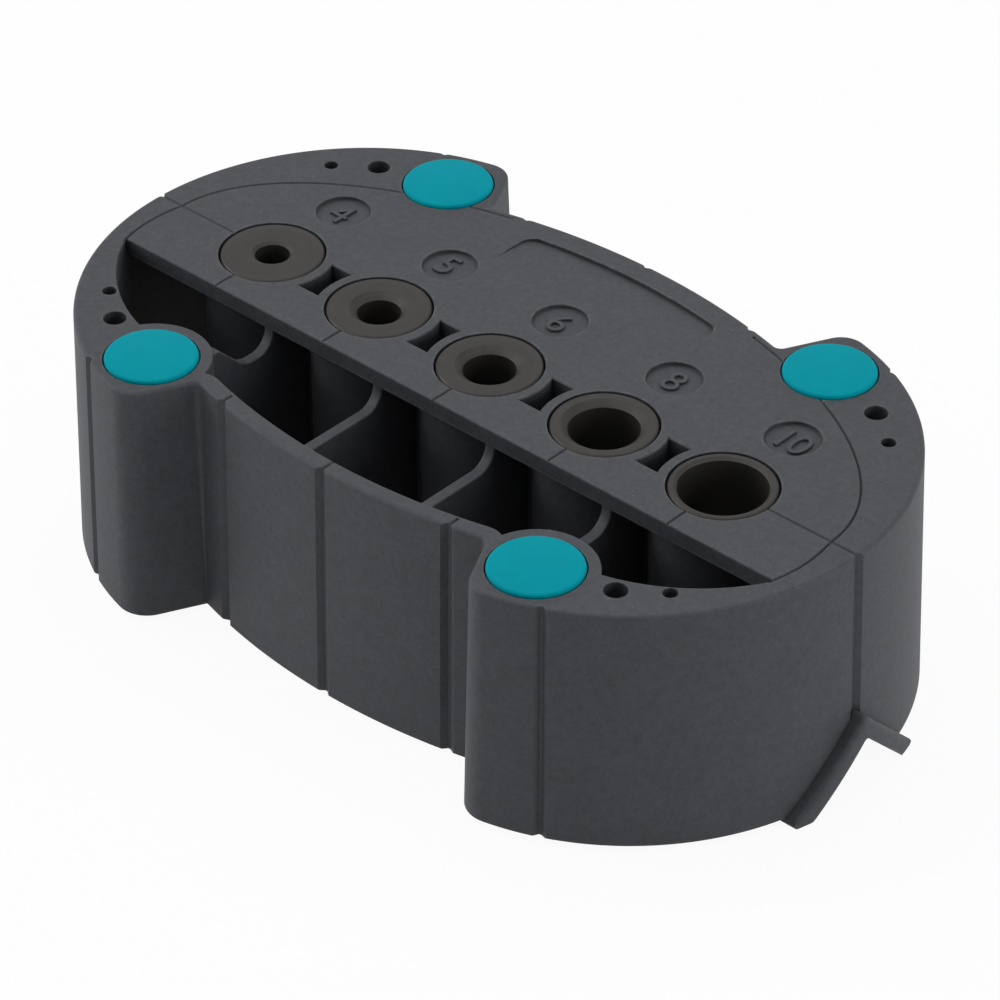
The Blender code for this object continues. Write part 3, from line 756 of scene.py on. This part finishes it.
def roundWallKeeps(sx, sy):
    (cx, cy), inner = pocketArc()
    start, end = math.radians(pocketSizes["from"]), math.radians(pocketSizes["to"])

    def sector(inset, outer):
        points = arcPoints((cx, cy), inner + inset, start, end, 64)
        points += arcPoints((cx, cy), outer, end, start, 64)
        return [(sx * px, sy * py) for px, py in points]

    intoDeck = deckTop - bodySizes["deck"] * 0.6
    wall = slab("wallKeep", sector(0.0, inner + pocketSizes["arcWall"]), floorOfBody - 2 * past, intoDeck)
    if sy > 0:
        return [wall]
    outer, soft = inner + 4 * past, bodySizes["innerRound"]
    rings = [level(sector(0.0, outer), deckTop - bodySizes["deck"])]
    rings += [level(sector(inset, outer), deckTop - drop) for inset, drop in roundOver(soft, 4)]
    rings.append(level(sector(soft, outer), deckTop + 2 * past))
    return [wall, loft("crescentKeep", rings)]


def wedgeProfile(crest, foot):
    blunt = channelSizes["blunt"]
    right = [(blunt, crest - blunt), (crest - foot, foot)]
    return right + [(-y, z) for y, z in reversed(right)]


def pinHoles():
    places = []
    for sx, sy in corners:
        for radius, inset, degrees in pinHoleSizes["holes"]:
            reach, turn = bodySizes["endRadius"] - inset, math.radians(degrees)
            x = sx * (bodySizes["endCentre"] + reach * math.cos(turn))
            places.append((radius, x, sy * reach * math.sin(turn)))
    return places


def hollowForm():
    # Everything open inside the outer wall: the inside, less each wall that stays.
    wall, soft = bodySizes["wall"], bodySizes["innerRound"]
    rings = [level(planOutline(-wall), floorOfBody - past)]
    rings += [level(planOutline(-wall + inset), deckTop - drop) for inset, drop in roundOver(soft, 4)]
    rings.append(level(planOutline(-wall + soft), deckTop + past))
    hollow = loft("hollow", rings)
    keeps = [deckKeep()]
    keeps += [ribKeep(x, i in (0, 3)) for i, x in enumerate(ribXs)]
    far = bodySizes["farPast"]
    keeps.append(bar("channelKeep", wedgeProfile(crestZ, floorOfBody - 2 * past), -far, far))
    postRadius = plugBore + bodySizes["postWall"]
    for sx, sy in corners:
        keeps.append(roundedRod("postKeep", postRadius, floorOfBody - 2 * past, sx * plugX, sy * plugY))
        keeps += roundWallKeeps(sx, sy)
    hole = pinHoleSizes
    low, high = deckTop - hole["depth"] - hole["floor"], deckTop - hole["belowDeck"]
    for radius, x, y in pinHoles():
        keeps.append(pillar("holeKeep", radius + hole["wall"], low, high, x, y, 32))
    radius = seatRadius + bodySizes["bossWall"]
    low, high = floorOfBody + rowSizes["bossFoot"], deckTop + past / 2
    keeps.append(alongRow("bosses", pillar("boss", radius, low, high, 0.0, 0.0, 96), 5))
    half, reach = windowSizes["blockHalfWidth"], windowSizes["halfLength"] + windowSizes["endWall"]
    plan = [(-half, -reach), (half, -reach), (half, reach), (-half, reach)]
    block = slab("block", plan, channelZ, deckTop + past / 3)
    keeps.append(alongRow("windowBlocks", block, 4))
    cut(hollow, "DIFFERENCE", keeps)
    return hollow


def railForm():
    # The V channel's legs below the underside and its lips past both ends, in slices across the row.
    size = channelSizes
    foot, crest = floorOfBody - size["proud"], crestZ - size["inset"]
    soft, blunt = size["legRound"], size["crestRound"]
    lipRadius = bodySizes["endRadius"] + draftAt(floorOfBody) + size["reach"]
    bend = crest - foot - soft * (1 + math.sqrt(2))  # where a leg's rounded end begins
    slices = []
    for i in range(7):
        turn = math.pi / 4 * i / 6
        high = crest - blunt * math.sqrt(2) + blunt * math.cos(turn)
        slices.append((blunt * math.sin(turn), foot, high))
    start = slices[-1][0]
    for i in range(1, 21):
        y = start + (bend - start) * i / 20
        slices.append((y, foot, crest - y))
    for i in range(1, 15):
        turn = math.pi / 2 * (1 - i / 15)
        y = bend + soft * math.cos(turn)
        high = crest - y if turn > math.pi / 4 else foot + soft + soft * math.sin(turn)
        slices.append((y, foot + soft - soft * math.sin(turn), high))
    rings = []
    for y, low, high in [(-y, low, high) for y, low, high in reversed(slices[1:])] + slices:
        front = bodySizes["endCentre"] + math.sqrt(lipRadius ** 2 - y * y)
        upright = min(size["lipRound"] * math.sqrt(2), (high - low) / 2)
        inset, under = min(size["lipRound"], upright), min(size["lipFoot"], upright)
        turns = [math.pi / 2 * i / 5 for i in range(6)]
        edge = [(front - under * (1 - math.sin(t)), low + under * (1 - math.cos(t))) for t in turns]
        edge += [(front - inset * (1 - math.cos(t)), high - upright * (1 - math.sin(t))) for t in turns]
        rings.append([(x, y, z) for x, z in edge] + [(-x, y, z) for x, z in reversed(edge)])
    return loft("rails", rings)


def channelCutter():
    # A 90 degree channel with a soft apex; the near leg's inner corner is well rounded.
    apex, soft, flare = channelZ, channelSizes["apexRound"], channelSizes["nearRound"]
    far, drop = bodySizes["farPast"], 20.0
    top = arcPoints((0.0, apex - soft * math.sqrt(2)), soft, math.radians(45), math.radians(135), 6)
    foot = floorOfBody - channelSizes["proud"]
    y = apex - foot  # where the near inner face meets the foot
    centre = (-y - flare * math.tan(math.pi / 8), foot + flare)
    near = arcPoints(centre, flare, -math.pi / 4, -math.pi / 2, 7)
    near += [(-y - flare - 2.0, foot), (-y - flare - 2.0, foot - 3.0), (-y - 3.0, foot - drop)]
    return bar("channel", top + near + [(y + drop, foot - drop)], -far, far)


def mouthProfile(radius, soft):
    # How a round cutter's profile starts: above the deck, then down to its softened mouth.
    wide = radius + soft
    return [(0, deckTop + past), (wide, deckTop + past), (wide, deckTop), (radius, deckTop - soft)]


def seatCutter():
    through, seatFloor = seatRadius - rowSizes["ledge"], rowSizes["seatFloor"]
    profile = mouthProfile(seatRadius, rowSizes["seatChamfer"]) + [(seatRadius, seatFloor)]
    profile += [(through, seatFloor), (through, floorOfBody - past), (0, floorOfBody - past)]
    return lathe("seat", profile, 0.0, 0.0, 128)


def windowCutter():
    size = windowSizes
    half, rim, side = size["halfLength"], seatRadius + size["rim"], rowSizes["pitch"] / 2
    spread = math.asin(half / rim)
    plan = arcPoints((side, 0.0), rim, math.pi + spread, math.pi - spread, 16)
    plan += arcPoints((-side, 0.0), rim, spread, -spread, 16)
    rings = []
    soft, low = size["soft"], deckTop - size["depth"]
    for grow, z in ((0.0, low), (0.0, deckTop - size["chamfer"]), (soft, deckTop), (soft, deckTop + past)):
        ring = [(x + math.copysign(grow, x), y + math.copysign(grow, y) * abs(y) / half) for x, y in plan]
        rings.append(level(ring, z))
    return loft("window", rings)


def dishCutter():
    radius, depth, soft = dishSizes["radius"], dishSizes["depth"], dishSizes["soft"]
    floorZ = deckTop - depth
    profile = mouthProfile(radius, soft)
    profile += [(radius - inset, floorZ + rise) for inset, rise in roundOver(soft, 4)]
    profile += [(0, floorZ)]
    return lathe("dish", profile, 0.0, dishSizes["y"], 96)


def grooveCutter():
    # An upright V groove in the drafted wall, seen from its station on the top outline.
    size, rings = grooveSizes, []
    depth, soft, out = size["depth"], size["soft"], size["out"]
    wide = soft + (size["halfWidth"] - soft) * (out + depth) / depth
    for z in (floorOfBody - past, deckTop + past):
        shift = draftAt(z)
        profile = [(shift - depth, -soft), (shift - depth, soft), (out + shift, wide), (out + shift, -wide)]
        rings.append(level(profile, z))
    return loft("groove", rings)


def grooveStations():
    size = bodySizes
    stations = []
    for i, x in enumerate(bushXs):
        if i in (0, 4):
            off = abs(x) - size["endCentre"]
            y = math.sqrt(size["endRadius"] ** 2 - off ** 2)
            turn = math.atan2(y, math.copysign(off, x))
        else:
            y = waistCentre[1] + math.sqrt(size["waistRadius"] ** 2 - x * x)
            turn = math.atan2(y - waistCentre[1], x)
        stations += [(x, y, turn), (x, -y, -turn)]
    return stations


def sightLine(name, path, halfWidth=lineSizes["halfWidth"], depth=lineSizes["depth"]):
    # A fine V line cut into the deck along a path.
    rings, lift = [], lineSizes["lift"]
    for i, (x, y) in enumerate(path):
        ahead, behind = path[min(i + 1, len(path) - 1)], path[max(i - 1, 0)]
        length = math.hypot(ahead[0] - behind[0], ahead[1] - behind[1])
        nx, ny = -(ahead[1] - behind[1]) / length, (ahead[0] - behind[0]) / length
        wide = halfWidth * (depth + lift) / depth
        rings.append([(x - nx * wide, y - ny * wide, deckTop + lift), (x, y, deckTop - depth),
                      (x + nx * wide, y + ny * wide, deckTop + lift)])
    return loft(name, rings)


def sightLines():
    size, lines = lineSizes, []
    turns = [math.radians(size["ringFrom"]) * (1 - i / 60) for i in range(61)]
    ring = [(size["ringX"] * math.cos(t) ** size["ringPower"], size["ringY"] * math.sin(t)) for t in turns]
    ring += size["ringTail"]
    for side in (-1, 1):
        lines.append(sightLine("ringLine", [(side * x, y) for x, y in ring]))
        lines.append(sightLine("rowLine", [(side * x, grooveSizes["offCentre"]) for x in size["row"]]))
    bushLine = sightLine("bushLine", [(0.0, y) for y in size["bush"]])
    lines.append(alongRow("bushLines", bushLine, 5))
    rimPath = [(0.0, y) for y in size["rim"]]
    rimLine = sightLine("rimLine", rimPath, size["rimHalfWidth"], size["rimDepth"])
    lines.append(alongRow("rimLines", rimLine, 3))
    return lines


def plateCutter():
    # The shallow bare recess, which runs out towards the bushes.
    half, width, border, depth, corner = plateSizes.values()
    radius, edge = bodySizes["waistRadius"] - border, half - corner
    low = bodySizes["waistHalfWidth"] - border - width
    turn = math.asin(edge / (radius - corner))
    centre = (edge, waistCentre[1] + (radius - corner) * math.cos(turn))
    upper = arcPoints(waistCentre, radius, math.pi / 2 - turn, math.pi / 2 + turn, 40)
    right = arcPoints(centre, corner, 0.0, math.pi / 2 - turn, 12)
    left = [(-x, y) for x, y in reversed(right)]
    plan = [(-half, low), (half, low)] + right[:-1] + upper + left[1:]
    slope = depth / width
    sunk = [(x, y, deckTop - (y - low) * slope) for x, y in plan]
    return loft("plate", [sunk, level(plan, deckTop + past)])


def holeCutter(name, radius, soft, low, x, y, steps):
    profile = mouthProfile(radius, soft) + [(radius, low), (0, low)]
    return lathe(name, profile, x, y, steps)


def makeBody():
    shape = outerForm()
    endX = bodySizes["endCentre"] + bodySizes["endRadius"]
    groove = grooveCutter()
    aside = grooveSizes["offCentre"]  # a hair aside, so that no corner falls on the crest line
    ends = [(endX, aside, 0.0), (-endX, aside, math.pi)]
    cut(shape, "DIFFERENCE", [atStations("endGrooves", groove, ends)])
    cut(shape, "UNION", [railForm()])
    tools = [channelCutter(), hollowForm(), plateCutter()]
    tools.append(atStations("sideGrooves", groove, grooveStations()))
    bpy.data.objects.remove(groove)
    rows = (("seats", seatCutter, 5), ("windows", windowCutter, 4), ("dishes", dishCutter, 5))
    tools += [alongRow(name, maker(), count) for name, maker, count in rows]
    soft, low = rowSizes["seatChamfer"], floorOfBody - past
    tools += [holeCutter("plugBore", plugBore, soft, low, sx * plugX, sy * plugY, 128) for sx, sy in corners]
    soft, low = pinHoleSizes["soft"], deckTop - pinHoleSizes["depth"]
    tools += [holeCutter("pinHole", radius, soft, low, x, y, 40) for radius, x, y in pinHoles()]
    tools += sightLines()
    cut(shape, "DIFFERENCE", tools)
    clean = bmesh.new()
    clean.from_mesh(shape.data)
    bmesh.ops.remove_doubles(clean, verts=clean.verts, dist=0.000002)
    bmesh.ops.dissolve_degenerate(clean, edges=clean.edges, dist=0.000002)
    openEdges = sum(1 for edge in clean.edges if not edge.is_manifold)
    print("body: open edges", openEdges, "faces", len(clean.faces))
    clean.to_mesh(shape.data)
    clean.free()
    piece = finishPiece(shape, "mouldedBody", "body", materials["plastic"], 24)
    weigh = piece.modifiers.new("flatFaces", "WEIGHTED_NORMAL")
    weigh.keep_sharp = True
    weigh.weight = 80
    return piece


makeBody()
print("moulded body done")


# Numerals in the dishes

numeralSizes = {
    "height": 3.55, "raise": 0.3, "sunk": 0.1, "weight": -0.01, "spacing": 0.86,
    "nudges": ((-0.1, -0.25), (-0.45, 0.1), (0.0, -0.1), (0.1, -0.15), (0.52, -0.22)),
}


def makeNumerals():
    size, made = numeralSizes, []
    for number, x, nudge in zip(rowSizes["bores"], bushXs, size["nudges"]):
        curve = bpy.data.curves.new("numeral", "FONT")
        curve.body = str(number)
        curve.align_x = "CENTER"
        curve.size = 1.0
        curve.offset = size["weight"]
        curve.space_character = size["spacing"]
        curve.extrude = 0.05
        curve.bevel_depth = 0.012
        curve.bevel_resolution = 2
        guide = bpy.data.objects.new("numeral", curve)
        workshop.objects.link(guide)
        plain = bpy.data.meshes.new_from_object(guide)
        bpy.data.objects.remove(guide)
        xs = [v.co.x for v in plain.vertices]
        ys = [v.co.y for v in plain.vertices]
        zs = [v.co.z for v in plain.vertices]
        grow = size["height"] / (max(ys) - min(ys))
        high = (size["raise"] + size["sunk"]) / (max(zs) - min(zs))
        centre = ((max(xs) + min(xs)) / 2, (max(ys) + min(ys)) / 2)
        base = deckTop - dishSizes["depth"] - size["sunk"]
        for v in plain.vertices:
            v.co = Vector(((v.co.x - centre[0]) * grow + x + nudge[0],
                           (v.co.y - centre[1]) * grow + dishSizes["y"] + nudge[1],
                           (v.co.z - min(zs)) * high + base)) * mm
        made.append(plain)
    joined = bmesh.new()
    for mesh in made:
        joined.from_mesh(mesh)
    bmesh.ops.remove_doubles(joined, verts=joined.verts, dist=0.000001)
    bmesh.ops.recalc_face_normals(joined, faces=joined.faces)
    whole = bpy.data.meshes.new("boreNumerals")
    joined.to_mesh(whole)
    joined.free()
    thing = bpy.data.objects.new("boreNumerals", whole)
    workshop.objects.link(thing)
    return finishPiece(thing, "boreNumerals", None, materials["marks"])


makeNumerals()
print("numerals done")


# Bushes and plugs

for number, x, mouth in zip(rowSizes["bores"], bushXs, rowSizes["mouths"]):
    node = f"bush_{number}mm"
    low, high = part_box(node)
    boreRadius = (number + rowSizes["play"]) / 2
    host = meshObject(node + "Host", [], [])
    runTree(host, trees["bush"], Outer_Radius=rowSizes["bushRadius"] * mm, Bore_Radius=boreRadius * mm,
            Top=high.z, Foot=low.z, Rim=rowSizes["rim"] * mm, Mouth=mouth * mm,
            Mouth_Depth=mouth * rowSizes["mouthSlope"] * mm, Softness=rowSizes["soft"] * mm,
            Place=(x * mm, 0.0, 0.0), Steps=128, Material=materials["steel"])
    finishPiece(host, f"drillBush{number}", node, materials["steel"], 40)
print("bushes done")

for sx, sy in corners:
    side = ("front" if sy < 0 else "back") + "_" + ("left" if sx < 0 else "right")
    node = "grip_plug_" + side
    low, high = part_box(node)
    host = meshObject(node + "Host", [], [])
    runTree(host, trees["plug"], Radius=plugSizes["radius"] * mm, Head=high.z, Foot=low.z,
            Softness=plugSizes["round"] * mm, Place=(sx * plugX * mm, sy * plugY * mm, 0.0), Steps=128,
            Material=materials["plug"])
    finishPiece(host, "softPlug_" + side, node, materials["plug"], 40)
print("plugs done")

for leftover in list(workshop.objects):
    bpy.data.objects.remove(leftover)
bpy.data.collections.remove(workshop)


# Studio

studio = {
    "worldDim": 0.06, "worldBright": 0.78, "dimSide": (0.66, -0.75, 0.0),
    "camera": (287.823, -307.736, 321.554), "aim": (3.926, -2.699, 15.9),
    "roll": -0.009, "lens": 164.55, "sensor": 36.0,
    "floorColour": 0.86, "floorSize": 6.0, "floorGlow": 0.94,
    # name, place in metres, power, size
    "lamps": (("overheadSoftbox", (-0.12, 0.06, 0.9), 3.0, 0.9),
              ("leftSoftbox", (-0.8, -0.42, 0.36), 3.4, 0.5),
              ("frontFill", (-0.3, -0.64, 0.84), 0.8, 0.4),
              ("rightSoftbox", (0.84, 0.22, 0.22), 3.0, 0.5)),
}


def seenRays(tree):
    # 1 for the rays that show the room itself: seen, mirrored or through glass.
    path = tree.nodes.new("ShaderNodeLightPath")
    mirrored = maths(tree, "MAXIMUM", path.outputs["Is Glossy Ray"], path.outputs["Is Transmission Ray"])
    return maths(tree, "MAXIMUM", path.outputs["Is Camera Ray"], mirrored)


def makeWorld():
    world = bpy.data.worlds.new("studioWorld")
    bpy.context.scene.world = world
    world.use_nodes = True
    tree = world.node_tree
    background = tree.nodes["Background"]
    seen = seenRays(tree)
    # The room is dimmer behind the camera than on the other sides.
    towards = addNode(tree, "ShaderNodeVectorMath", {"operation": "DOT_PRODUCT"})
    around = tree.nodes.new("ShaderNodeTexCoord")
    fill(tree, towards.inputs, around.outputs["Generated"], studio["dimSide"])
    room = ramp(tree, towards.outputs["Value"], -0.6, 0.6, studio["worldBright"], studio["worldDim"])
    strength = ramp(tree, seen, 0.0, 1.0, room, 1.0)
    give(tree, background.inputs, Color=(1.0, 1.0, 1.0, 1.0), Strength=strength)


def makeFloor():
    half = studio["floorSize"] / 2
    mesh = bpy.data.meshes.new("studioFloor")
    square = [(-half, -half, 0), (half, -half, 0), (half, half, 0), (-half, half, 0)]
    mesh.from_pydata(square, [], [(0, 1, 2, 3)])
    floor = bpy.data.objects.new("studioFloor", mesh)
    bpy.context.scene.collection.objects.link(floor)
    material = bpy.data.materials.new("paleFloor")
    material.use_nodes = True
    tree = material.node_tree
    tree.nodes.remove(tree.nodes["Principled BSDF"])
    matt = addNode(tree, "ShaderNodeBsdfDiffuse", Color=(studio["floorColour"],) * 3 + (1.0,))
    glow = addNode(tree, "ShaderNodeEmission", Color=(1.0, 1.0, 1.0, 1.0), Strength=1.0)
    share = times(tree, seenRays(tree), studio["floorGlow"])
    mixed = addNode(tree, "ShaderNodeMixShader")
    fill(tree, mixed.inputs, share, matt.outputs[0], glow.outputs[0])
    tree.links.new(mixed.outputs[0], tree.nodes["Material Output"].inputs["Surface"])
    floor.data.materials.append(material)


def addLamp(name, place, power, size):
    lamp = bpy.data.lights.new(name, "AREA")
    lamp.energy = power
    lamp.size = size
    thing = bpy.data.objects.new(name, lamp)
    thing.location = place
    thing.rotation_mode = "QUATERNION"
    thing.rotation_quaternion = (Vector((0.0, 0.0, 0.015)) - Vector(place)).to_track_quat("-Z", "Y")
    bpy.context.scene.collection.objects.link(thing)


def makeCamera():
    data = bpy.data.cameras.new("studioCamera")
    data.lens, data.sensor_width = studio["lens"], studio["sensor"]
    data.clip_start, data.clip_end = 0.05, 20.0
    spot, aim = Vector(studio["camera"]) * mm, Vector(studio["aim"]) * mm
    forward = (aim - spot).normalized()
    right = forward.cross(Vector((0, 0, 1))).normalized()
    up = right.cross(forward)
    c, s = math.cos(studio["roll"]), math.sin(studio["roll"])
    side, top = right * c + up * s, up * c - right * s
    camera = bpy.data.objects.new("studioCamera", data)
    camera.matrix_world = Matrix((
        (side.x, top.x, -forward.x, spot.x), (side.y, top.y, -forward.y, spot.y),
        (side.z, top.z, -forward.z, spot.z), (0, 0, 0, 1)))
    bpy.context.scene.collection.objects.link(camera)
    bpy.context.scene.camera = camera


makeWorld()
makeFloor()
for lamp in studio["lamps"]:
    addLamp(*lamp)
makeCamera()
bpy.context.scene.view_settings.view_transform = "Standard"
print("studio done")
